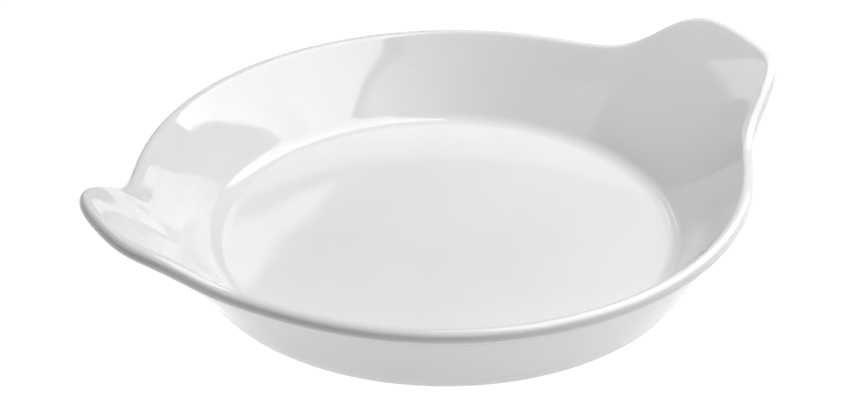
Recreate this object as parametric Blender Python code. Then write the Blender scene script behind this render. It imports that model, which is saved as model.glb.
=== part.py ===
"""A round egg dish of glazed white porcelain, with two upswept ears and a rolled rim.

The dish is one fired body. Its skin is a stack of closed rings that follow one
another from the well's floor up the inner wall, over the rolled rim, down the
outer wall, under the foot and into the recess of the underside. Towards each
ear the wall leans out and up, and the rim goes with it.

Metres, +Z up. The origin is on the table under the middle, the ears lie along X.
"""

import math

import bmesh
import bpy
import numpy as np

# Driving sizes of the plain round dish, measured across the ears' axis
RIM_ACROSS = 0.2000  # outside of the rolled rim
RIM_HEIGHT = 0.0308  # top of the rolled rim above the table
WALL_THICKNESS = 0.0036  # of the wall just under the rolled rim
RIM_LIP = 0.0012  # how far the rolled rim stands out from the outer wall
NECK_ROUNDING = 0.0015  # radius of the hollow under the rolled rim
FLOOR_ACROSS = 0.1478  # flat floor of the well
FLOOR_THICKNESS = 0.0036
WELL_FILLET = 0.0070  # radius between the floor and the inner wall

# Driving sizes of the foot
FOOT_ACROSS = 0.1636  # outer edge of the face that the dish stands on
FOOT_ROUNDING = 0.0020  # radius between that face and the outer wall
FOOT_RING_WIDTH = 0.0055
RECESS_DEPTH = 0.0012  # hollow of the underside inside the foot ring
RECESS_SLOPE = 0.0030  # width of the step up into that hollow

# Driving sizes of an ear, where the wall leans out and up from the plain round
EAR_REACH = 0.0242  # how far the wall's top edge moves out in the middle of an ear
EAR_RISE = 0.0167  # how far it moves up there
EAR_WIDTH = 0.0518  # between the places where an ear has half its reach
SHOULDER_REACH = 0.0019  # part of the reach that comes slowly over a quarter turn
SHOULDER_RISE = 0.0013  # part of the rise that comes slowly over a quarter turn
PLAN_CORNER = 4.6  # higher values give an ear squarer corners seen from above
END_CORNER = 6.0  # and seen from its end
EAR_CURL = 2.2  # higher values keep the lean of the ear nearer to the rim

# How finely the skin is divided
COLUMNS = 104  # a multiple of four, so that the widest places have a column
COLUMN_CROWDING = 0.5  # share by which columns draw together at the ears
FILLET_STEPS = 5
WALL_STEPS = 6
RIM_STEPS = 11
NECK_STEPS = 2
FOOT_STEPS = 3
RECESS_STEPS = 3
SLIDE_FADE = 3  # higher values end the sideways slide of the columns nearer to the rim
SLOPE_STEP = 1e-5  # small step for measuring how the wall slopes
SHARP_ANGLE = math.radians(40)  # edges above this are shaded sharp


def unit(vectors):
    """The same directions at length one."""
    return vectors / np.linalg.norm(vectors, axis=-1, keepdims=True)


def common_normal(span, gain):
    """The unit vector, to the right of span, along which span gains this much."""
    angle = math.atan2(span[1], span[0]) - math.acos(gain / np.linalg.norm(span))
    return np.array((math.cos(angle), math.sin(angle)))


# The plain section, as radius and height: two straight walls between round corners
RIM_RADIUS = (WALL_THICKNESS + RIM_LIP) / 2
RIM_CENTRE = np.array((RIM_ACROSS / 2 - RIM_RADIUS, RIM_HEIGHT - RIM_RADIUS))
FLOOR_HEIGHT = RECESS_DEPTH + FLOOR_THICKNESS
FILLET_CENTRE = np.array((FLOOR_ACROSS / 2, FLOOR_HEIGHT + WELL_FILLET))
FOOT_CENTRE = np.array((FOOT_ACROSS / 2, FOOT_ROUNDING))
INWARD = common_normal(FILLET_CENTRE - RIM_CENTRE, WELL_FILLET + RIM_RADIUS)
OUTWARD = common_normal(RIM_CENTRE - FOOT_CENTRE, FOOT_ROUNDING + RIM_RADIUS - WALL_THICKNESS)
WALL_FOOT = FILLET_CENTRE - WELL_FILLET * INWARD
WALL_TOP = RIM_CENTRE + RIM_RADIUS * INWARD
EAR_EDGE = math.asin(EAR_WIDTH / 2 / RIM_CENTRE[0])


def thickness_at(inner_point):
    """From a point of the plain inner wall straight through to the outer wall."""
    depth = np.dot(FOOT_CENTRE - inner_point, OUTWARD) + FOOT_ROUNDING
    return depth / -np.dot(INWARD, OUTWARD)


FOOT_END_THICKNESS = thickness_at(WALL_FOOT)
RIM_END_THICKNESS = thickness_at(WALL_TOP)


def turned(theta, radius, height):
    """A ring of points at this radius and height, one in each direction theta."""
    return np.stack((radius * np.cos(theta), radius * np.sin(theta), height + 0 * theta), axis=-1)


def ear_share(theta, corner):
    """One in the middle of an ear, a half at its edges and near zero on the plain rim."""
    from_ear = np.abs((theta + math.pi / 2) % math.pi - math.pi / 2)
    return 1 / (1 + (from_ear / EAR_EDGE) ** corner)


def inner_wall(theta, share):
    """Points of the inner wall: share runs from 0 at its foot to 1 at the rim."""
    plain = WALL_FOOT[:, None] + np.outer(WALL_TOP - WALL_FOOT, share)
    shoulder = np.cos(theta) ** 2
    reach = (EAR_REACH - SHOULDER_REACH) * ear_share(theta, PLAN_CORNER) + SHOULDER_REACH * shoulder
    rise = (EAR_RISE - SHOULDER_RISE) * ear_share(theta, END_CORNER) + SHOULDER_RISE * shoulder
    lean = np.maximum(share, 0) ** EAR_CURL
    return turned(theta, plain[0] + lean * reach, plain[1] + lean * rise)


def wall_slopes(theta, share):
    """How the inner wall moves as theta grows, and as share grows."""
    along = inner_wall(theta + SLOPE_STEP, share) - inner_wall(theta - SLOPE_STEP, share)
    upward = inner_wall(theta, share + SLOPE_STEP) - inner_wall(theta, share - SLOPE_STEP)
    return along / (2 * SLOPE_STEP), upward / (2 * SLOPE_STEP)


def wall_normal(theta, share):
    """Unit normals of the inner wall, pointing into the dish."""
    along, upward = wall_slopes(theta, share)
    return unit(np.cross(upward, along))


def outer_wall(theta, share):
    """Points of the outer wall, straight through the clay from the inner wall."""
    thickness = FOOT_END_THICKNESS + (RIM_END_THICKNESS - FOOT_END_THICKNESS) * share
    return inner_wall(theta, share) - thickness[:, None] * wall_normal(theta, share)


def arc(centre, right, up, radius, angles):
    """Rings along an arc about centre, in the plane of two unit vectors, one for each angle."""
    return [centre + radius * (math.cos(angle) * right + math.sin(angle) * up) for angle in angles]


def plain_arc(theta, centre, radius, start, end, steps):
    """Rings of a round corner that is the same all round the dish."""
    angles = np.linspace(start, end, steps + 1)
    return [
        turned(theta, centre[0] + radius * math.cos(angle), centre[1] + radius * math.sin(angle))
        for angle in angles
    ]


def rolled_rim(theta):
    """Rings over the rolled rim and round the hollow under it, square to the rim's own run.

    Also returned is how far below the rim's centre line the outer wall begins.
    """
    edge = np.ones_like(theta)
    along, _ = wall_slopes(theta, edge)
    normal = wall_normal(theta, edge)
    across = unit(np.cross(along, normal))
    centre = inner_wall(theta, edge) - RIM_RADIUS * normal

    neck_in = RIM_END_THICKNESS + NECK_ROUNDING - RIM_RADIUS
    neck_down = math.sqrt((RIM_RADIUS + NECK_ROUNDING) ** 2 - neck_in**2)
    neck_centre = centre - neck_down * across - neck_in * normal
    touch = math.atan2(-neck_in, -neck_down)

    rim_angles = np.linspace(math.pi / 2, touch, RIM_STEPS + 1)
    neck_angles = np.linspace(touch + math.pi, math.pi / 2, NECK_STEPS + 1)
    rings = arc(centre, across, normal, RIM_RADIUS, rim_angles)
    rings += arc(neck_centre, across, normal, NECK_ROUNDING, neck_angles[1:-1])
    return rings, neck_down


def outer_rings(theta, neck_down):
    """Rings down the outer wall, from the hollow under the rim to the wall's foot.

    The hollow lies square to the rim and the wall's columns lean, so the upper
    rings slide sideways a little and the slide fades out on the way down.
    """
    edge = np.ones_like(theta)
    along, upward = wall_slopes(theta, edge)
    across = unit(np.cross(along, wall_normal(theta, edge)))
    climb = np.sum(upward * across, axis=-1)
    slide = np.sum(along * upward, axis=-1) / np.sum(along**2, axis=-1) / climb * neck_down
    start = 1 - neck_down / climb
    rings = []
    for step in range(WALL_STEPS + 1):
        share = start * (1 - step / WALL_STEPS)
        fade = (1 - step / WALL_STEPS) ** SLIDE_FADE
        rings.append(outer_wall(theta + slide * fade, share))
    return rings


def underside_rings(theta):
    """Rings round the foot, across the foot ring and up into the recess."""
    wall_angle = math.atan2(OUTWARD[1], OUTWARD[0])
    rings = plain_arc(theta, FOOT_CENTRE, FOOT_ROUNDING, wall_angle, -math.pi / 2, FOOT_STEPS)
    ring_inner = FOOT_CENTRE[0] - FOOT_RING_WIDTH
    for step in range(RECESS_STEPS + 1):
        share = step / RECESS_STEPS
        height = RECESS_DEPTH * (1 - math.cos(math.pi * share)) / 2
        rings.append(turned(theta, ring_inner - RECESS_SLOPE * share, height))
    return rings


def skin_rings(theta):
    """Every ring of the skin, from the edge of the floor round to the recess."""
    wall_angle = math.atan2(-INWARD[1], -INWARD[0])
    rings = plain_arc(theta, FILLET_CENTRE, WELL_FILLET, -math.pi / 2, wall_angle, FILLET_STEPS)
    for step in range(1, WALL_STEPS):
        rings.append(inner_wall(theta, np.full_like(theta, step / WALL_STEPS)))
    rim, neck_down = rolled_rim(theta)
    return rings + rim + outer_rings(theta, neck_down) + underside_rings(theta)


def dish_mesh():
    """The closed mesh: rings joined by quads, and a flat face over the floor and the recess."""
    even = 2 * math.pi * np.arange(COLUMNS) / COLUMNS
    theta = even - COLUMN_CROWDING * np.sin(2 * even) / 2
    shape = bmesh.new()
    rings = [[shape.verts.new(point) for point in ring] for ring in skin_rings(theta)]
    for lower, upper in zip(rings, rings[1:]):
        for column in range(COLUMNS):
            following = (column + 1) % COLUMNS
            shape.faces.new((lower[column], lower[following], upper[following], upper[column]))
    shape.faces.new(rings[0])
    shape.faces.new(reversed(rings[-1]))
    bmesh.ops.recalc_face_normals(shape, faces=shape.faces)
    mesh = bpy.data.meshes.new("dish")
    shape.to_mesh(mesh)
    shape.free()
    mesh.shade_smooth()
    mesh.set_sharp_from_angle(angle=SHARP_ANGLE)
    return mesh


def white_glaze():
    """Glossy white glaze over a white porcelain body."""
    material = bpy.data.materials.new("white_glaze")
    material.use_nodes = True
    shader = material.node_tree.nodes["Principled BSDF"]
    shader.inputs["Base Color"].default_value = (0.86, 0.86, 0.85, 1.0)
    shader.inputs["Metallic"].default_value = 0.0
    shader.inputs["Roughness"].default_value = 0.08
    return material


def main():
    for thing in list(bpy.data.objects):
        bpy.data.objects.remove(thing, do_unlink=True)
    dish = bpy.data.objects.new("dish", dish_mesh())
    dish.data.materials.append(white_glaze())
    bpy.context.scene.collection.objects.link(dish)


main()
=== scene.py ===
# %% [markdown]
# This lesson builds a white porcelain egg dish and lights it for a picture. The real dish is
# one pressed and glazed body: a flat well, a wall that flares out, a rolled rim, and two ears
# that sweep up from the rim to lift it by. A solid model of the dish is already there, made
# for its sizes and its weight. We load it first, and nothing here moves or resizes it.

import math

import bmesh
import bpy
import numpy as np
from mathutils import Matrix, Vector


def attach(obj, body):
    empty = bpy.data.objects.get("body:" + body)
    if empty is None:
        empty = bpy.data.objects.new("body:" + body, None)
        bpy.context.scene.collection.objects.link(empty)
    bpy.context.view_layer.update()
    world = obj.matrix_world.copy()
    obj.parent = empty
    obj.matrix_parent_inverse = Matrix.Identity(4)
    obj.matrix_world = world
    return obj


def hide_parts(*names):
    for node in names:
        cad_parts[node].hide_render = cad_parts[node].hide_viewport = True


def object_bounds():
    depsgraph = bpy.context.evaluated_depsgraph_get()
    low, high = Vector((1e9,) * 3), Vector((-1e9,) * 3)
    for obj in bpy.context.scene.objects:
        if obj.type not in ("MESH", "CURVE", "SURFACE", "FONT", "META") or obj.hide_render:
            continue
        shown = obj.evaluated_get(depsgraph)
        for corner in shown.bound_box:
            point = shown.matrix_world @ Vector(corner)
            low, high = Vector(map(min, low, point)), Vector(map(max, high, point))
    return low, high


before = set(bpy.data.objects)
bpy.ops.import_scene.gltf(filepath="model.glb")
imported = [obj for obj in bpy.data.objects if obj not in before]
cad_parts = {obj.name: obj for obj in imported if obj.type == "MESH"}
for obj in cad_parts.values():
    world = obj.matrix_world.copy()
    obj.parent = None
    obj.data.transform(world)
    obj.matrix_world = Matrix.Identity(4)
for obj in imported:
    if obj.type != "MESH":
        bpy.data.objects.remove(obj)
solid_low, solid_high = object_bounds()
print("the solid dish runs from", tuple(solid_low), "to", tuple(solid_high))

# %% [markdown]
# The solid has flat facets, because it only has to weigh and stand right. Gloss shows every
# facet, so we draw the skin again, much finer. We could put a Subdivision Surface modifier on
# the solid, but it would round the small hollow under the rim and pull the rim in. Drawing the
# skin from its own sizes is exact: these are the sizes of the plain round dish, in metres.

# %% Sizes of the plain round dish
RIM_ACROSS = 0.2000
RIM_HEIGHT = 0.0308
WALL_THICKNESS = 0.0036
RIM_LIP = 0.0012
NECK_ROUNDING = 0.0015
FLOOR_ACROSS = 0.1478
FLOOR_THICKNESS = 0.0036
WELL_FILLET = 0.0070
FOOT_ACROSS = 0.1636
FOOT_ROUNDING = 0.0020
FOOT_RING_WIDTH = 0.0055
RECESS_DEPTH = 0.0012
RECESS_SLOPE = 0.0030
print("the rim is", round(RIM_ACROSS * 1000), "mm across")

# %% [markdown]
# An ear is no separate piece. The mould lets the wall lean further out and up over about a
# sixth of the way round, and the rim follows. So an ear needs only how far the wall's top edge
# moves out and up, how wide the ear is, and how square its corners are. A little of the lean
# spreads over the whole quarter turn, which makes the soft shoulders beside each ear.

# %% Sizes of the ears
EAR_REACH = 0.0242
EAR_RISE = 0.0167
EAR_WIDTH = 0.0518
SHOULDER_REACH = 0.0019
SHOULDER_RISE = 0.0013
PLAN_CORNER = 4.6
END_CORNER = 6.0
EAR_CURL = 2.2
print("an ear is", round(EAR_WIDTH * 1000, 1), "mm wide at half its reach")

# %% [markdown]
# Cut the plain dish through its middle and its section is simple: an inner wall and an outer
# wall, both straight, that run between round corners. A straight wall touches two circles, the
# corner below and the rolled rim above, so its direction comes from those two circles.

# %% Section of the plain dish


def common_normal(span, gain):
    """The unit vector, to the right of span, along which span gains this much."""
    angle = math.atan2(span[1], span[0]) - math.acos(gain / np.linalg.norm(span))
    return np.array((math.cos(angle), math.sin(angle)))


RIM_RADIUS = (WALL_THICKNESS + RIM_LIP) / 2
RIM_CENTRE = np.array((RIM_ACROSS / 2 - RIM_RADIUS, RIM_HEIGHT - RIM_RADIUS))
FLOOR_HEIGHT = RECESS_DEPTH + FLOOR_THICKNESS
FILLET_CENTRE = np.array((FLOOR_ACROSS / 2, FLOOR_HEIGHT + WELL_FILLET))
FOOT_CENTRE = np.array((FOOT_ACROSS / 2, FOOT_ROUNDING))
INWARD = common_normal(FILLET_CENTRE - RIM_CENTRE, WELL_FILLET + RIM_RADIUS)
OUTWARD = common_normal(RIM_CENTRE - FOOT_CENTRE, FOOT_ROUNDING + RIM_RADIUS - WALL_THICKNESS)
WALL_FOOT = FILLET_CENTRE - WELL_FILLET * INWARD
WALL_TOP = RIM_CENTRE + RIM_RADIUS * INWARD


def thickness_at(inner_point):
    """From a point of the plain inner wall straight through to the outer wall."""
    depth = np.dot(FOOT_CENTRE - inner_point, OUTWARD) + FOOT_ROUNDING
    return depth / -np.dot(INWARD, OUTWARD)


print("the wall leans out", round(math.degrees(math.atan2(INWARD[1], -INWARD[0]))), "degrees")
print("its foot is", round(thickness_at(WALL_FOOT) * 1000, 1), "mm thick")

# %% [markdown]
# Now the ears. We want a curve that is one in the middle of an ear and dies away on the plain
# rim. A bell such as 1 / (1 + x to a power) does that, and the power sets how square its
# shoulders are. Further down the wall the lean fades, so the ears curl out like petals.

# %% The inner wall with its ears
EAR_EDGE = math.asin(EAR_WIDTH / 2 / RIM_CENTRE[0])


def turned(theta, radius, height):
    """A ring of points at this radius and height, one in each direction theta."""
    return np.stack((radius * np.cos(theta), radius * np.sin(theta), height + 0 * theta), axis=-1)


def ear_share(theta, corner):
    """One in the middle of an ear, a half at its edges and near zero on the plain rim."""
    from_ear = np.abs((theta + math.pi / 2) % math.pi - math.pi / 2)
    return 1 / (1 + (from_ear / EAR_EDGE) ** corner)


def inner_wall(theta, share):
    """Points of the inner wall: share runs from 0 at its foot to 1 at the rim."""
    plain = WALL_FOOT[:, None] + np.outer(WALL_TOP - WALL_FOOT, share)
    shoulder = np.cos(theta) ** 2
    reach = (EAR_REACH - SHOULDER_REACH) * ear_share(theta, PLAN_CORNER) + SHOULDER_REACH * shoulder
    rise = (EAR_RISE - SHOULDER_RISE) * ear_share(theta, END_CORNER) + SHOULDER_RISE * shoulder
    lean = np.maximum(share, 0) ** EAR_CURL
    return turned(theta, plain[0] + lean * reach, plain[1] + lean * rise)


ear_top = inner_wall(np.zeros(1), np.ones(1))[0]
print("the wall's top edge at an ear is at", np.round(ear_top * 1000, 1), "mm")

# %% [markdown]
# The outer wall lies straight through the clay from the inner wall, so the dish keeps its
# thickness where it curls. For that we need the direction square to the inner wall at every
# point. We measure it: a small step round the dish and a small step up the wall give two
# directions in the surface, and their cross product stands square to both.

# %% The outer wall
SLOPE_STEP = 1e-5
FOOT_END_THICKNESS = thickness_at(WALL_FOOT)
RIM_END_THICKNESS = thickness_at(WALL_TOP)


def unit(vectors):
    """The same directions at length one."""
    return vectors / np.linalg.norm(vectors, axis=-1, keepdims=True)


def wall_slopes(theta, share):
    """How the inner wall moves as theta grows, and as share grows."""
    along = inner_wall(theta + SLOPE_STEP, share) - inner_wall(theta - SLOPE_STEP, share)
    upward = inner_wall(theta, share + SLOPE_STEP) - inner_wall(theta, share - SLOPE_STEP)
    return along / (2 * SLOPE_STEP), upward / (2 * SLOPE_STEP)


def wall_normal(theta, share):
    """Unit normals of the inner wall, pointing into the dish."""
    along, upward = wall_slopes(theta, share)
    return unit(np.cross(upward, along))


def outer_wall(theta, share):
    """Points of the outer wall, straight through the clay from the inner wall."""
    thickness = FOOT_END_THICKNESS + (RIM_END_THICKNESS - FOOT_END_THICKNESS) * share
    return inner_wall(theta, share) - thickness[:, None] * wall_normal(theta, share)


print("the wall thins from", round(FOOT_END_THICKNESS * 1000, 2), "mm to",
      round(RIM_END_THICKNESS * 1000, 2), "mm")

# %% [markdown]
# The rim is a bead, thicker than the wall, that runs round the plain edge and up over both
# ears. A curve with a round bevel would give a bead too, but it would cut into the wall rather
# than flow out of it. Instead we draw arcs square to the rim's own run: over the bead from the
# inner wall, then back round a small hollow under it, and the outer wall starts there.

# %% The rolled rim
WALL_STEPS = 28
RIM_STEPS = 40
NECK_STEPS = 8
SLIDE_FADE = 3


def arc(centre, right, up, radius, angles):
    """Rings along an arc about centre, in the plane of two unit vectors, one for each angle."""
    return [centre + radius * (math.cos(angle) * right + math.sin(angle) * up) for angle in angles]


def rolled_rim(theta):
    """Rings over the bead and round the hollow under it, and how deep the outer wall begins."""
    edge = np.ones_like(theta)
    along, _ = wall_slopes(theta, edge)
    normal = wall_normal(theta, edge)
    across = unit(np.cross(along, normal))
    centre = inner_wall(theta, edge) - RIM_RADIUS * normal

    neck_in = RIM_END_THICKNESS + NECK_ROUNDING - RIM_RADIUS
    neck_down = math.sqrt((RIM_RADIUS + NECK_ROUNDING) ** 2 - neck_in**2)
    neck_centre = centre - neck_down * across - neck_in * normal
    touch = math.atan2(-neck_in, -neck_down)

    rim_angles = np.linspace(math.pi / 2, touch, RIM_STEPS + 1)
    neck_angles = np.linspace(touch + math.pi, math.pi / 2, NECK_STEPS + 1)
    rings = arc(centre, across, normal, RIM_RADIUS, rim_angles)
    rings += arc(neck_centre, across, normal, NECK_ROUNDING, neck_angles[1:-1])
    return rings, neck_down


def outer_rings(theta, neck_down):
    """Rings down the outer wall; the upper ones slide sideways to meet the hollow squarely."""
    edge = np.ones_like(theta)
    along, upward = wall_slopes(theta, edge)
    across = unit(np.cross(along, wall_normal(theta, edge)))
    climb = np.sum(upward * across, axis=-1)
    slide = np.sum(along * upward, axis=-1) / np.sum(along**2, axis=-1) / climb * neck_down
    start = 1 - neck_down / climb
    rings = []
    for step in range(WALL_STEPS + 1):
        share = start * (1 - step / WALL_STEPS)
        fade = (1 - step / WALL_STEPS) ** SLIDE_FADE
        rings.append(outer_wall(theta + slide * fade, share))
    return rings


print("the bead is", round(RIM_RADIUS * 2000, 1), "mm thick")

# %% [markdown]
# Underneath, the dish stands on a ring, and the clay inside the ring is set back a little so
# that a slightly warped bottom can't rock. These corners are the same all round, so each one
# is an arc of the plain section, turned about the middle.

# %% Well corner, foot ring and recess
FILLET_STEPS = 16
FOOT_STEPS = 10
RECESS_STEPS = 10


def plain_arc(theta, centre, radius, start, end, steps):
    """Rings of a round corner that is the same all round the dish."""
    angles = np.linspace(start, end, steps + 1)
    return [
        turned(theta, centre[0] + radius * math.cos(angle), centre[1] + radius * math.sin(angle))
        for angle in angles
    ]


def well_corner(theta):
    """Rings from the edge of the flat floor up to the wall's foot."""
    wall_angle = math.atan2(-INWARD[1], -INWARD[0])
    return plain_arc(theta, FILLET_CENTRE, WELL_FILLET, -math.pi / 2, wall_angle, FILLET_STEPS)


def underside_rings(theta):
    """Rings round the foot, across the foot ring and up into the recess."""
    wall_angle = math.atan2(OUTWARD[1], OUTWARD[0])
    rings = plain_arc(theta, FOOT_CENTRE, FOOT_ROUNDING, wall_angle, -math.pi / 2, FOOT_STEPS)
    ring_inner = FOOT_CENTRE[0] - FOOT_RING_WIDTH
    for step in range(RECESS_STEPS + 1):
        share = step / RECESS_STEPS
        height = RECESS_DEPTH * (1 - math.cos(math.pi * share)) / 2
        rings.append(turned(theta, ring_inner - RECESS_SLOPE * share, height))
    return rings


print("the foot ring is", round(FOOT_RING_WIDTH * 1000, 1), "mm wide")

# %% [markdown]
# With every ring known, the skin is a matter of sewing: each ring joins the next with quads,
# and the floor and the recess close with rings that shrink to a point. The columns crowd
# towards the ears, where the shape turns fastest. The order is from the middle of the well, up
# and over the rim, and down to the middle of the underside, so the skin is one closed sheet.

# %% Sew the skin
COLUMNS = 416
COLUMN_CROWDING = 0.5
DISC_STEPS = 20


def disc_rings(theta, edge_radius, height, inwards):
    """Rings that fill a flat disc, without its edge and its middle."""
    radii = [edge_radius * step / DISC_STEPS for step in range(1, DISC_STEPS)]
    return [turned(theta, radius, height) for radius in (reversed(radii) if inwards else radii)]


def skin_rings(theta):
    """Every ring of the skin, from the middle of the well round to the middle underneath."""
    rings = disc_rings(theta, FILLET_CENTRE[0], FLOOR_HEIGHT, inwards=False)
    rings += well_corner(theta)
    for step in range(1, WALL_STEPS):
        rings.append(inner_wall(theta, np.full_like(theta, step / WALL_STEPS)))
    rim, neck_down = rolled_rim(theta)
    rings += rim
    rings += outer_rings(theta, neck_down)
    underside = underside_rings(theta)
    rings += underside[1:]
    recess_edge = FOOT_CENTRE[0] - FOOT_RING_WIDTH - RECESS_SLOPE
    return rings + disc_rings(theta, recess_edge, RECESS_DEPTH, inwards=True)


def sew(rings, first_point, last_point):
    """A closed mesh from rings of points, with a fan at each end."""
    shape = bmesh.new()
    loops = [[shape.verts.new(point) for point in ring] for ring in rings]
    first, last = shape.verts.new(first_point), shape.verts.new(last_point)
    for column in range(len(loops[0])):
        following = (column + 1) % len(loops[0])
        shape.faces.new((first, loops[0][following], loops[0][column]))
        for lower, upper in zip(loops, loops[1:]):
            shape.faces.new((lower[column], lower[following], upper[following], upper[column]))
        shape.faces.new((last, loops[-1][column], loops[-1][following]))
    bmesh.ops.recalc_face_normals(shape, faces=shape.faces)
    mesh = bpy.data.meshes.new("egg_dish_skin")
    shape.to_mesh(mesh)
    shape.free()
    mesh.shade_smooth()
    return mesh


even = 2 * math.pi * np.arange(COLUMNS) / COLUMNS
directions = even - COLUMN_CROWDING * np.sin(2 * even) / 2
skin = sew(skin_rings(directions), (0, 0, FLOOR_HEIGHT), (0, 0, RECESS_DEPTH))
print("the skin has", len(skin.vertices), "points and", len(skin.polygons), "faces")

# %% [markdown]
# A smooth curve bulges a hair past the flat facets of the solid. The skin has to stay inside
# the solid's box, so we shrink it by the few hundredths of a millimetre that this takes.

# %% Seat the skin in the solid's box
BOX_MARGIN = 0.9999

corners = np.array([vertex.co for vertex in skin.vertices])
solid_half = (np.array(solid_high) - np.array(solid_low))[:2] / 2
fit = min(solid_half / np.abs(corners[:, :2]).max(axis=0)) * BOX_MARGIN
fit = min(fit, solid_high.z / corners[:, 2].max() * BOX_MARGIN)
skin.transform(Matrix.Scale(fit, 4))
print("the skin is drawn at", round(fit, 5), "of its size")

dish = bpy.data.objects.new("egg_dish", skin)
bpy.context.scene.collection.objects.link(dish)
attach(dish, "root")
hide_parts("dish")

# %% [markdown]
# A finish in Blender is a net of small nodes. Several finishes here need the same effect, a
# surface that isn't quite even: the glaze has slow waves from flowing in the kiln, and bare
# clay has a grain. We could wire the noise again in each material. A node group is better: it
# is built once, and each material sets its own spacing. This cell makes an empty group with
# named sockets, and a short helper that adds a node.

# %% Helpers for node groups


def empty_group(name, inputs, outputs):
    """A new group and its two end nodes; inputs give a socket type and a starting value."""
    group = bpy.data.node_groups.new(name, "ShaderNodeTree")
    for label, (kind, value) in inputs.items():
        socket = group.interface.new_socket(label, in_out="INPUT", socket_type=kind)
        socket.default_value = value
    for label, kind in outputs.items():
        group.interface.new_socket(label, in_out="OUTPUT", socket_type=kind)
    return group, group.nodes.new("NodeGroupInput"), group.nodes.new("NodeGroupOutput")


def add_node(tree, kind, values=None, **choices):
    """A node with some of its choices set, and numbers put in its input sockets."""
    node = tree.nodes.new("ShaderNode" + kind)
    for choice, value in choices.items():
        setattr(node, choice, value)
    for socket, value in (values or {}).items():
        node.inputs[socket].default_value = value
    return node


def place_group(tree, group, values):
    """A group placed in a material, with this material's own values."""
    node = tree.nodes.new("ShaderNodeGroup")
    node.node_tree = group
    for socket, value in values.items():
        node.inputs[socket].default_value = value
    return node


print("the helpers are ready, and there are", len(bpy.data.node_groups), "groups so far")

# %% [markdown]
# The first group is the uneven surface. It reads object coordinates, which stay fixed to the
# dish, so the pattern doesn't slide when the camera moves. Slow noise gives the waves, finer
# noise rides on it, and the fine share says how strong the second one is.

# %% Group for an uneven surface
FINE_PER_WAVE = 5.0
uneven, uneven_in, uneven_out = empty_group(
    "uneven_surface",
    {"Waves per Metre": ("NodeSocketFloat", 60.0), "Fine Share": ("NodeSocketFloat", 0.2)},
    {"Height": "NodeSocketFloat"},
)
uneven_place = add_node(uneven, "TexCoord")
slow_waves = add_node(uneven, "TexNoise", {"Detail": 1.0, "Roughness": 0.4})
finer = add_node(uneven, "Math", {1: FINE_PER_WAVE}, operation="MULTIPLY")
fine_waves = add_node(uneven, "TexNoise", {"Detail": 2.0, "Roughness": 0.5})
uneven_mix = add_node(uneven, "Mix", data_type="FLOAT")
uneven.links.new(uneven_place.outputs["Object"], slow_waves.inputs["Vector"])
uneven.links.new(uneven_place.outputs["Object"], fine_waves.inputs["Vector"])
uneven.links.new(uneven_in.outputs["Waves per Metre"], slow_waves.inputs["Scale"])
uneven.links.new(uneven_in.outputs["Waves per Metre"], finer.inputs[0])
uneven.links.new(finer.outputs[0], fine_waves.inputs["Scale"])
uneven.links.new(uneven_in.outputs["Fine Share"], uneven_mix.inputs["Factor"])
uneven.links.new(slow_waves.outputs["Fac"], uneven_mix.inputs["A"])
uneven.links.new(fine_waves.outputs["Fac"], uneven_mix.inputs["B"])
uneven.links.new(uneven_mix.outputs["Result"], uneven_out.inputs["Height"])
print("the uneven surface has", len(uneven.nodes), "nodes")

# %% [markdown]
# White clay always holds a few grains of iron, and each one fires to a tiny grey speck. Voronoi
# cells scatter points evenly. We keep only the few cells whose random colour is low enough, and
# a small disc round each kept point is the speck.

# %% Group for iron specks
specks, specks_in, specks_out = empty_group(
    "iron_specks",
    {
        "Cells per Metre": ("NodeSocketFloat", 60.0),
        "Kept Share": ("NodeSocketFloat", 0.1),
        "Speck Size": ("NodeSocketFloat", 0.0002),
    },
    {"Mask": "NodeSocketFloat"},
)
specks_place = add_node(specks, "TexCoord")
grains = add_node(specks, "TexVoronoi", {"Randomness": 1.0})
grain_size = add_node(specks, "Math", operation="MULTIPLY")
inside = add_node(specks, "Math", operation="LESS_THAN")
grain_colour = add_node(specks, "SeparateColor")
kept = add_node(specks, "Math", operation="LESS_THAN")
both = add_node(specks, "Math", operation="MULTIPLY")
specks.links.new(specks_place.outputs["Object"], grains.inputs["Vector"])
specks.links.new(specks_in.outputs["Cells per Metre"], grains.inputs["Scale"])
specks.links.new(specks_in.outputs["Cells per Metre"], grain_size.inputs[0])
specks.links.new(specks_in.outputs["Speck Size"], grain_size.inputs[1])
specks.links.new(grains.outputs["Distance"], inside.inputs[0])
specks.links.new(grain_size.outputs[0], inside.inputs[1])
specks.links.new(grains.outputs["Color"], grain_colour.inputs["Color"])
specks.links.new(grain_colour.outputs["Red"], kept.inputs[0])
specks.links.new(specks_in.outputs["Kept Share"], kept.inputs[1])
specks.links.new(inside.outputs[0], both.inputs[0])
specks.links.new(kept.outputs[0], both.inputs[1])
specks.links.new(both.outputs[0], specks_out.inputs["Mask"])
print("the iron specks have", len(specks.nodes), "nodes")

# %% [markdown]
# Glaze is a thin coat of glass fused to the clay. A Coat layer over a rough base could show
# that, but on white porcelain glaze and clay read as one smooth white surface. So a plain
# Principled BSDF with a low roughness does it, with the refractive index of glass. What makes
# it look real is small. First come slow waves, less than a tenth of a millimetre high, that
# bend the mirrored lamps. The near left ear is wavier than the rest, so the waves grow there
# with the distance along X.

# %% White glaze and its waves
GLASS_IOR = 1.5
WAVE_HEIGHT = 0.00006
EAR_WAVES = 3.5
EAR_WAVES_BEGIN = -0.078
EAR_WAVES_FULL = -0.094
glaze = bpy.data.materials.new("white_glaze")
glaze.use_nodes = True
glaze_tree = glaze.node_tree
glaze_shader = glaze_tree.nodes["Principled BSDF"]
glaze_shader.inputs["IOR"].default_value = GLASS_IOR

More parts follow.
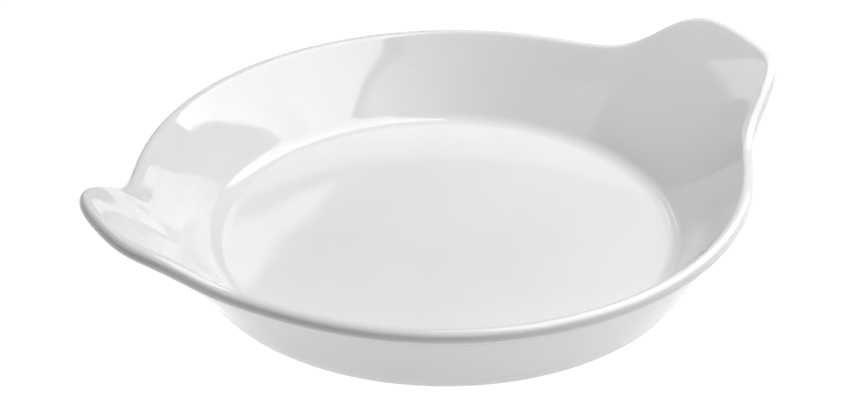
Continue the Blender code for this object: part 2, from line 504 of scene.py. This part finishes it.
waves = place_group(glaze_tree, uneven, {"Waves per Metre": 55.0, "Fine Share": 0.12})
wave_bump = add_node(glaze_tree, "Bump", {"Strength": 1.0, "Distance": WAVE_HEIGHT})
spot = add_node(glaze_tree, "TexCoord")
spot_parts = add_node(glaze_tree, "SeparateXYZ")
ear_waves = add_node(glaze_tree, "MapRange", {
    "From Min": EAR_WAVES_BEGIN,
    "From Max": EAR_WAVES_FULL,
    "To Min": 1.0,
    "To Max": EAR_WAVES,
})
wave_size = add_node(glaze_tree, "Math", operation="MULTIPLY")
glaze_tree.links.new(spot.outputs["Object"], spot_parts.inputs["Vector"])
glaze_tree.links.new(spot_parts.outputs["X"], ear_waves.inputs["Value"])
glaze_tree.links.new(waves.outputs["Height"], wave_size.inputs[0])
glaze_tree.links.new(ear_waves.outputs["Result"], wave_size.inputs[1])
glaze_tree.links.new(wave_size.outputs[0], wave_bump.inputs["Height"])
glaze_tree.links.new(wave_bump.outputs["Normal"], glaze_shader.inputs["Normal"])
print("the waves are", round(WAVE_HEIGHT * 1000, 2), "mm high")

# %% [markdown]
# Glaze runs while it is molten and pools more thickly in some places, where it looks slightly
# greyer and a little less sharp. A pattern of its own, slower than the waves, sets both the
# tone and the roughness. Noise seldom goes below 0.3 or above 0.7, so the roughness is spread
# over that range.

# %% Tone and gloss of the glaze
GLAZE_WHITE = (0.865, 0.865, 0.863, 1.0)
POOLED_WHITE = (0.842, 0.844, 0.844, 1.0)
POOL_BEGINS = 0.42
POOL_FULL = 0.68
NOISE_LOW = 0.3
NOISE_HIGH = 0.7
ROUGHNESS_LEAST = 0.03
ROUGHNESS_MOST = 0.06
pools = place_group(glaze_tree, uneven, {"Waves per Metre": 22.0, "Fine Share": 0.3})
pool_mask = add_node(glaze_tree, "MapRange", {"From Min": POOL_BEGINS, "From Max": POOL_FULL})
pool_tone = add_node(glaze_tree, "Mix", {"A": GLAZE_WHITE, "B": POOLED_WHITE}, data_type="RGBA")
gloss = add_node(glaze_tree, "MapRange", {
    "From Min": NOISE_LOW,
    "From Max": NOISE_HIGH,
    "To Min": ROUGHNESS_LEAST,
    "To Max": ROUGHNESS_MOST,
})
glaze_tree.links.new(pools.outputs["Height"], pool_mask.inputs["Value"])
glaze_tree.links.new(pools.outputs["Height"], gloss.inputs["Value"])
glaze_tree.links.new(pool_mask.outputs["Result"], pool_tone.inputs["Factor"])
glaze_tree.links.new(gloss.outputs["Result"], glaze_shader.inputs["Roughness"])
print("the roughness runs from", ROUGHNESS_LEAST, "to", ROUGHNESS_MOST)

# %% [markdown]
# A few specks show through the glaze anywhere. Two more sit on the far wall where the
# photograph shows them: each of these darkens with nearness to a point, and the darker of the
# two masks counts.

# %% Specks in the glaze
SPECK_GREY = (0.60, 0.59, 0.57, 1.0)
SPECK_PLACES = ((0.03559, 0.08256, 0.02184), (-0.02168, 0.08410, 0.01771))
SPECK_REACH = 0.0007
SPECK_DEPTH = 0.4
glaze_specks = place_group(
    glaze_tree, specks, {"Cells per Metre": 45.0, "Kept Share": 0.05, "Speck Size": 0.00022}
)
speck_mask = glaze_specks.outputs["Mask"]
for place in SPECK_PLACES:
    way = add_node(glaze_tree, "VectorMath", {1: place}, operation="DISTANCE")
    near = add_node(glaze_tree, "MapRange", {
        "From Min": SPECK_REACH,
        "From Max": 0.0,
        "To Max": SPECK_DEPTH,
    })
    darker = add_node(glaze_tree, "Math", operation="MAXIMUM")
    glaze_tree.links.new(spot.outputs["Object"], way.inputs[0])
    glaze_tree.links.new(way.outputs["Value"], near.inputs["Value"])
    glaze_tree.links.new(speck_mask, darker.inputs[0])
    glaze_tree.links.new(near.outputs["Result"], darker.inputs[1])
    speck_mask = darker.outputs[0]
speck_tone = add_node(glaze_tree, "Mix", {"B": SPECK_GREY}, data_type="RGBA")
glaze_tree.links.new(speck_mask, speck_tone.inputs["Factor"])
glaze_tree.links.new(pool_tone.outputs["Result"], speck_tone.inputs["A"])
glaze_tree.links.new(speck_tone.outputs["Result"], glaze_shader.inputs["Base Color"])
skin.materials.append(glaze)
print("the glaze has", len(glaze_tree.nodes), "nodes")

# %% [markdown]
# A glazed foot would stick to the kiln shelf, so the ring that the dish stands on is wiped bare
# before firing. It shows dry, slightly warm clay with a fine grain. We could paint this with a
# mask over the whole dish, but the ring has clear edges in the mesh, so its faces simply get a
# second material. The wiping is never perfect: here and there a shinier patch of glaze is left.

# %% Bare clay of the foot ring
CLAY_WARM = (0.74, 0.71, 0.66, 1.0)
CLAY_PALE = (0.80, 0.78, 0.74, 1.0)
GRAIN_HEIGHT = 0.00008
DRY_ROUGHNESS = 0.8
GLAZED_ROUGHNESS = 0.15
GLAZED_BEGINS = 0.60
GLAZED_FULL = 0.64
clay = bpy.data.materials.new("bare_clay")
clay.use_nodes = True
clay_tree = clay.node_tree
clay_shader = clay_tree.nodes["Principled BSDF"]
clay_grain = place_group(clay_tree, uneven, {"Waves per Metre": 900.0, "Fine Share": 0.5})
clay_patches = place_group(clay_tree, uneven, {"Waves per Metre": 120.0, "Fine Share": 0.35})
clay_specks = place_group(
    clay_tree, specks, {"Cells per Metre": 300.0, "Kept Share": 0.2, "Speck Size": 0.00015}
)
grain_bump = add_node(clay_tree, "Bump", {"Strength": 1.0, "Distance": GRAIN_HEIGHT})
clay_tone = add_node(clay_tree, "Mix", {"A": CLAY_WARM, "B": CLAY_PALE}, data_type="RGBA")
clay_dotted = add_node(clay_tree, "Mix", {"B": SPECK_GREY}, data_type="RGBA")
dryness = add_node(clay_tree, "MapRange", {
    "From Min": GLAZED_BEGINS,
    "From Max": GLAZED_FULL,
    "To Min": DRY_ROUGHNESS,
    "To Max": GLAZED_ROUGHNESS,
})
clay_tree.links.new(clay_grain.outputs["Height"], grain_bump.inputs["Height"])
clay_tree.links.new(grain_bump.outputs["Normal"], clay_shader.inputs["Normal"])
clay_tree.links.new(clay_patches.outputs["Height"], clay_tone.inputs["Factor"])
clay_tree.links.new(clay_patches.outputs["Height"], dryness.inputs["Value"])
clay_tree.links.new(dryness.outputs["Result"], clay_shader.inputs["Roughness"])
clay_tree.links.new(clay_tone.outputs["Result"], clay_dotted.inputs["A"])
clay_tree.links.new(clay_specks.outputs["Mask"], clay_dotted.inputs["Factor"])
clay_tree.links.new(clay_dotted.outputs["Result"], clay_shader.inputs["Base Color"])
skin.materials.append(clay)
print("the clay has", len(clay_tree.nodes), "nodes")

# %% [markdown]
# The ring's own faces are easy to find: they are the only ones whose points all lie on the
# table.

# %% Give the clay to the ring
FLAT_ENOUGH = 1e-6
CLAY_SLOT = 1
ring_faces = 0
for face in skin.polygons:
    heights = [abs(skin.vertices[index].co.z) for index in face.vertices]
    if max(heights) < FLAT_ENOUGH:
        face.material_index = CLAY_SLOT
        ring_faces += 1
print("the bare ring has", ring_faces, "faces")

# %% [markdown]
# Now the picture. A product photograph is taken from well back with a long lens, so that the
# near ear doesn't look bigger than the far one. The dish stands turned, and the camera looks
# down into it at about 31 degrees. The numbers come from matching the rim, the foot and the
# floor's edge. We measure directions from the camera's side: right, away from it, and up.

# %% Camera
CAMERA_TURN = math.radians(30.79)
CAMERA_RISE = math.radians(30.75)
CAMERA_DISTANCE = 0.8120
AIM_ASIDE = -0.0057
AIM_HEIGHT = 0.0157
SENSOR_WIDTH = 36.0
LENS_LENGTH = 103.11


def from_camera_side(right, away, height):
    """A point given as seen from the camera's side, in the dish's own directions."""
    turn = -CAMERA_TURN
    return Vector((
        right * math.cos(turn) - away * math.sin(turn),
        right * math.sin(turn) + away * math.cos(turn),
        height,
    ))


aim = from_camera_side(AIM_ASIDE, 0, AIM_HEIGHT)
back = CAMERA_DISTANCE * math.cos(CAMERA_RISE)
rise = CAMERA_DISTANCE * math.sin(CAMERA_RISE)
camera_data = bpy.data.cameras.new("studio_camera")
camera_data.sensor_fit = "HORIZONTAL"
camera_data.sensor_width = SENSOR_WIDTH
camera_data.lens = LENS_LENGTH
camera_data.clip_start = 0.01
camera = bpy.data.objects.new("studio_camera", camera_data)
camera.location = from_camera_side(AIM_ASIDE, -back, AIM_HEIGHT + rise)
camera.rotation_euler = (aim - camera.location).to_track_quat("-Z", "Y").to_euler()
bpy.context.scene.collection.objects.link(camera)
bpy.context.scene.camera = camera
print("the camera stands at", tuple(round(value, 3) for value in camera.location))

# %% [markdown]
# The ground of the picture is pure white and nearly without shadow, and yet the dish's outer
# wall is evenly bright down to the foot. A painted table can't do that, because the dish shades
# it. A light table can: a sheet of milky acrylic, lit softly from below.

# %% Light table
TABLE_ACROSS = 6.0
half = TABLE_ACROSS / 2
table_mesh = bpy.data.meshes.new("light_table")
table_corners = [(-half, -half, 0), (half, -half, 0), (half, half, 0), (-half, half, 0)]
table_mesh.from_pydata(table_corners, [], [(0, 1, 2, 3)])
table = bpy.data.objects.new("light_table", table_mesh)
bpy.context.scene.collection.objects.link(table)
print("the light table is", TABLE_ACROSS, "m across")

# %% [markdown]
# The sheet has a mid-grey colour for the lamps above, because more than half of their light
# goes through it, and it glows, most strongly over the lamp below the dish. The outer wall sees
# that bright pool under it, but the rolled rim also looks far out over the dim part, and so a
# dark line runs along it.

# %% The milky sheet and its pool of light
SHEET_COLOUR = (0.40, 0.40, 0.40, 1.0)
SHEET_ROUGHNESS = 0.9
SHEET_GLOW = 0.62
POOL_PLACE = (0.03, -0.01, 0.0)
POOL_INSIDE = 0.11
POOL_OUTSIDE = 0.30
POOL_GLOW = (1.0, 1.0, 1.0, 1.0)
POOL_EDGE_GLOW = (0.22, 0.22, 0.22, 1.0)
sheet = bpy.data.materials.new("milky_sheet")
sheet.use_nodes = True
sheet_tree = sheet.node_tree
sheet_shader = sheet_tree.nodes["Principled BSDF"]
sheet_shader.inputs["Base Color"].default_value = SHEET_COLOUR
sheet_shader.inputs["Roughness"].default_value = SHEET_ROUGHNESS
sheet_shader.inputs["Specular IOR Level"].default_value = 0.0
spot_below = add_node(sheet_tree, "TexCoord")
from_lamp = add_node(sheet_tree, "VectorMath", {1: POOL_PLACE}, operation="DISTANCE")
fading = add_node(sheet_tree, "MapRange", {"From Min": POOL_INSIDE, "From Max": POOL_OUTSIDE})
pool = add_node(sheet_tree, "Mix", {"A": POOL_GLOW, "B": POOL_EDGE_GLOW}, data_type="RGBA")
sheet_tree.links.new(spot_below.outputs["Object"], from_lamp.inputs[0])
sheet_tree.links.new(from_lamp.outputs["Value"], fading.inputs["Value"])
sheet_tree.links.new(fading.outputs["Result"], pool.inputs["Factor"])
sheet_tree.links.new(pool.outputs["Result"], sheet_shader.inputs["Emission Color"])
sheet_shader.inputs["Emission Strength"].default_value = SHEET_GLOW
print("the pool of light reaches", POOL_OUTSIDE, "m out")

# %% [markdown]
# For the camera, and for mirrors and glass, the sheet shows a white ground instead. The Light
# Path node tells such rays from the rest. Part of the sheet's own shading stays mixed in, and
# the pool of light fills the dish's shadow, as in the photograph.

# %% The white ground that the camera sees
GROUND_COLOUR = (1.0, 1.0, 1.0, 1.0)
GROUND_WHITE = 1.15
GROUND_SHARE = 0.8
ground = add_node(sheet_tree, "Emission", {"Color": GROUND_COLOUR, "Strength": GROUND_WHITE})
ray = add_node(sheet_tree, "LightPath")
seen_or_mirrored = add_node(sheet_tree, "Math", operation="MAXIMUM")
any_view = add_node(sheet_tree, "Math", operation="MAXIMUM")
view_share = add_node(sheet_tree, "Math", {1: GROUND_SHARE}, operation="MULTIPLY")
blend = add_node(sheet_tree, "MixShader")
sheet_tree.links.new(ray.outputs["Is Camera Ray"], seen_or_mirrored.inputs[0])
sheet_tree.links.new(ray.outputs["Is Glossy Ray"], seen_or_mirrored.inputs[1])
sheet_tree.links.new(seen_or_mirrored.outputs[0], any_view.inputs[0])
sheet_tree.links.new(ray.outputs["Is Transmission Ray"], any_view.inputs[1])
sheet_tree.links.new(any_view.outputs[0], view_share.inputs[0])
sheet_tree.links.new(view_share.outputs[0], blend.inputs["Fac"])
sheet_tree.links.new(sheet_shader.outputs["BSDF"], blend.inputs[1])
sheet_tree.links.new(ground.outputs["Emission"], blend.inputs[2])
sheet_tree.links.new(blend.outputs["Shader"], sheet_tree.nodes["Material Output"].inputs["Surface"])
table_mesh.materials.append(sheet)
print("the sheet has", len(sheet_tree.nodes), "nodes")

# %% [markdown]
# Gloss shows the lamps themselves, so their outlines matter as much as their light. A rectangle
# of light does for each one: we give a corner and two edges, measured from the camera's side,
# and it turns its lit side to the dish. We set how bright its face looks, where 1 is white, and
# the lamp's power follows from its area. Blender can also let a lamp show in gloss only or in
# matte light only. That is handy here: first we place the bright outlines that the glaze
# mirrors, and then the soft light that gives the clay its tone, without one spoiling the other.

# %% Helper for lamps


def soft_box(name, shows_in, corner, first_edge, second_edge, brightness):
    """A rectangular lamp from a corner and two edges, showing in gloss or in matte light."""
    first, second = from_camera_side(*first_edge), from_camera_side(*second_edge)
    middle = from_camera_side(*corner) + (first + second) / 2
    if first.cross(second).dot(middle) < 0:
        first, second = second, first
    data = bpy.data.lights.new(name, "AREA")
    data.shape = "RECTANGLE"
    data.size = first.length
    data.size_y = second.length
    data.energy = brightness * first.length * second.length * math.pi
    lamp = bpy.data.objects.new(name, data)
    right, top = first.normalized(), second.normalized()
    turn = Matrix((right, top, right.cross(top))).transposed().to_4x4()
    lamp.matrix_world = Matrix.Translation(middle) @ turn
    lamp.visible_diffuse = shows_in == "matte"
    lamp.visible_glossy = shows_in == "gloss"
    bpy.context.scene.collection.objects.link(lamp)


print("a lamp of 1 m2 that looks white takes", round(math.pi, 2), "W")

# %% [markdown]
# The largest thing that the glaze mirrors is a soft window, tilted over the right side of the
# dish: it makes the bright field on the back wall and the bright line in the well's corner. Its
# left corners are cut off, so we build it from strips side by side, each as long as the window
# is there, and narrower where it is slanted. All have one brightness and read as one pane.

# %% The window that the glaze mirrors
WINDOW_CORNER = (-0.460, 0.450)
WINDOW_RUN = (0.970, -0.2425)
WINDOW_BRIGHTNESS = 4.4
WINDOW_ACROSS = 0.54
SLANT_ACROSS = 0.16
SLANT_PLACES = (0.0, SLANT_ACROSS)
FRONT_ENDS = (0.56, 0.22)
BACK_PLACES = (0.0, 0.10, 0.30, WINDOW_ACROSS)
BACK_ENDS = (0.60, 0.74, 0.81, 0.95)
SLANTED_STRIPS = 12
STRIPS = 17


def window_part(name, shows_in, sides, ends, brightness):
    """A rectangle of the tilted window, between two sides and two shares of its run."""
    corner = [start + run * ends[0] for start, run in zip(WINDOW_CORNER, WINDOW_RUN)]
    across = (sides[1] - sides[0], 0, 0)
    along = [run * (ends[1] - ends[0]) for run in WINDOW_RUN]
    soft_box(name, shows_in, (sides[0], *corner), across, (0, *along), brightness)


strip_counts = (0, SLANTED_STRIPS, STRIPS)
edges = np.interp(range(STRIPS + 1), strip_counts, (0.0, SLANT_ACROSS, WINDOW_ACROSS))
for number, sides in enumerate(zip(edges, edges[1:])):
    middle = sum(sides) / 2
    front_end = np.interp(middle, SLANT_PLACES, FRONT_ENDS)
    back_end = np.interp(middle, BACK_PLACES, BACK_ENDS)
    window_part(f"window_{number}", "gloss", sides, (front_end, back_end), WINDOW_BRIGHTNESS)
print("window of", STRIPS, "strips, the narrowest", round(edges[1] * 1000), "mm wide")

# %% [markdown]
# The rest of the back wall isn't black either: it mirrors a cloth that hangs in front of the
# window and gets darker to the left. One lamp has one brightness, so the cloth is a few
# strips again, each a little dimmer than the one before. The steps are too small to see.

# %% The cloth in front of the window
CLOTH_STRIPS = 6
CLOTH_STRIP = 0.10
CLOTH_FIRST_MIDDLE = 0.26
CLOTH_FRONT_END = -0.02
CLOTH_BACK_ENDS = (0.40, 0.20)
CLOTH_BRIGHTNESS = 1.9

for number in range(CLOTH_STRIPS):
    middle = CLOTH_FIRST_MIDDLE - CLOTH_STRIP * number
    sides = (middle - CLOTH_STRIP / 2, middle + CLOTH_STRIP / 2)
    ends = (CLOTH_FRONT_END, np.interp(middle, SLANT_PLACES, CLOTH_BACK_ENDS))
    dimmer = CLOTH_BRIGHTNESS * (1 - number / CLOTH_STRIPS)
    window_part(f"cloth_{number}", "gloss", sides, ends, dimmer)
print("the cloth fades to", round(dimmer, 2))

# %% [markdown]
# The far ear mirrors a bent streak that runs down along its rim, and the well's corner below
# it a thin bright line. Both show one wedge of light on the left, thin in front and wide at
# its far end. Its upper edge is straight, and it is built from strips as the window was.

# %% The wedge of light on the left
WEDGE_ASIDE = -0.43
WEDGE_TIP = (0.322, 0.532)
WEDGE_ALONG = (0.970, -0.243)
WEDGE_DOWN = (-0.243, -0.970)
WEDGE_STRIPS = 9
WEDGE_STRIP = 0.02
WEDGE_DEPTHS = (0.0, 0.09, 0.14, 0.18)
WEDGE_STARTS = (-0.02, 0.26, 0.43, 0.62)
WEDGE_END = 0.66
WEDGE_BRIGHTNESS = 1.7

for number in range(WEDGE_STRIPS):
    depth = WEDGE_STRIP * number
    start = np.interp(depth + WEDGE_STRIP / 2, WEDGE_DEPTHS, WEDGE_STARTS)
    corner = [
        tip + along * start + down * depth
        for tip, along, down in zip(WEDGE_TIP, WEDGE_ALONG, WEDGE_DOWN)
    ]
    length = [share * (WEDGE_END - start) for share in WEDGE_ALONG]
    width = [share * WEDGE_STRIP for share in WEDGE_DOWN]
    place = (WEDGE_ASIDE, *corner)
    soft_box(f"wedge_{number}", "gloss", place, (0, *length), (0, *width), WEDGE_BRIGHTNESS)
print("the wedge is", round(WEDGE_STRIPS * WEDGE_STRIP, 2), "m wide at its far end")

# %% [markdown]
# Smaller boards complete the picture in the glaze. One behind the dish makes the bright patch
# at the left of the floor, and one on the left the faint patch on the right of the back wall.
# A low one far behind shines over the far rim and makes the bright patch on the near ear. Each
# row gives a board's corner, its two edges and its brightness.

# %% Boards that the glaze mirrors
BOARDS = {
    "back_board": ((-0.067, 0.890, 0.500), (-0.2015, 0.2485, 0.3845), (-0.1554, -0.1258, 0), 1.5),
    "left_board": ((-0.395, -0.33, 0.1), (0, 0.31, 0), (0, 0, 0.4), 0.9),
    "far_board": ((0.60, 1.20, 0.0), (0.70, -0.45, 0), (0, 0, 0.13), 1.2),
}
for name, (corner, first_edge, second_edge, brightness) in BOARDS.items():
    soft_box(name, "gloss", corner, first_edge, second_edge, brightness)
print("the glaze mirrors", len(bpy.data.lights), "lamps")

# %% [markdown]
# The matte light comes from above and mostly from the right, so the wall on the right, which
# faces away from it, is the darkest. The ceiling boards are large and far off, for soft
# shading, and the window's own light is near, so the floor grows brighter towards it. On the
# floor they all add up to about one, so the glaze there shows the white that we gave it.

# %% Soft light from above
WINDOW_LIGHT_SIDES = (0.310, 0.550)
WINDOW_LIGHT_ENDS = (0.22, 0.97)
WINDOW_LIGHT = 4.2
SOFT_LIGHTS = {
    "ceiling_right": ((-0.1, 0.0, 1.2), (1.4, 0, 0), (0, 0.5, 0), 6.4),
    "ceiling_front": ((-0.1, -0.5, 1.2), (1.4, 0, 0), (0, 0.5, 0), 1.6),
    "ceiling_left": ((-0.9, 0.0, 1.2), (0.8, 0, 0), (0, 0.5, 0), 1.2),
    "right_board": ((0.8, 0.7, 0.05), (0, -1.2, 0), (0, 0, 0.6), 0.25),
    "left_light": ((-0.7, -0.8, 0.05), (0, 1.2, 0), (0, 0, 0.6), 0.25),
}
window_part("window_light", "matte", WINDOW_LIGHT_SIDES, WINDOW_LIGHT_ENDS, WINDOW_LIGHT)
for name, (corner, first_edge, second_edge, brightness) in SOFT_LIGHTS.items():
    soft_box(name, "matte", corner, first_edge, second_edge, brightness)
print("there are now", len(bpy.data.lights), "lamps")

# %% [markdown]
# The air of the studio gives a trace of light from all sides. Standard shows colours as they
# are written, which suits a picture of a white thing on white.

# %% Studio air
AIR_COLOUR = (1.0, 1.0, 1.0, 1.0)
AIR_LIGHT = 0.02
world = bpy.data.worlds.new("studio_air")
world.use_nodes = True
air = world.node_tree.nodes["Background"]
air.inputs["Color"].default_value = AIR_COLOUR
air.inputs["Strength"].default_value = AIR_LIGHT
bpy.context.scene.world = world
bpy.context.scene.view_settings.view_transform = "Standard"
print("the air's light is", AIR_LIGHT, "where 1 is white")
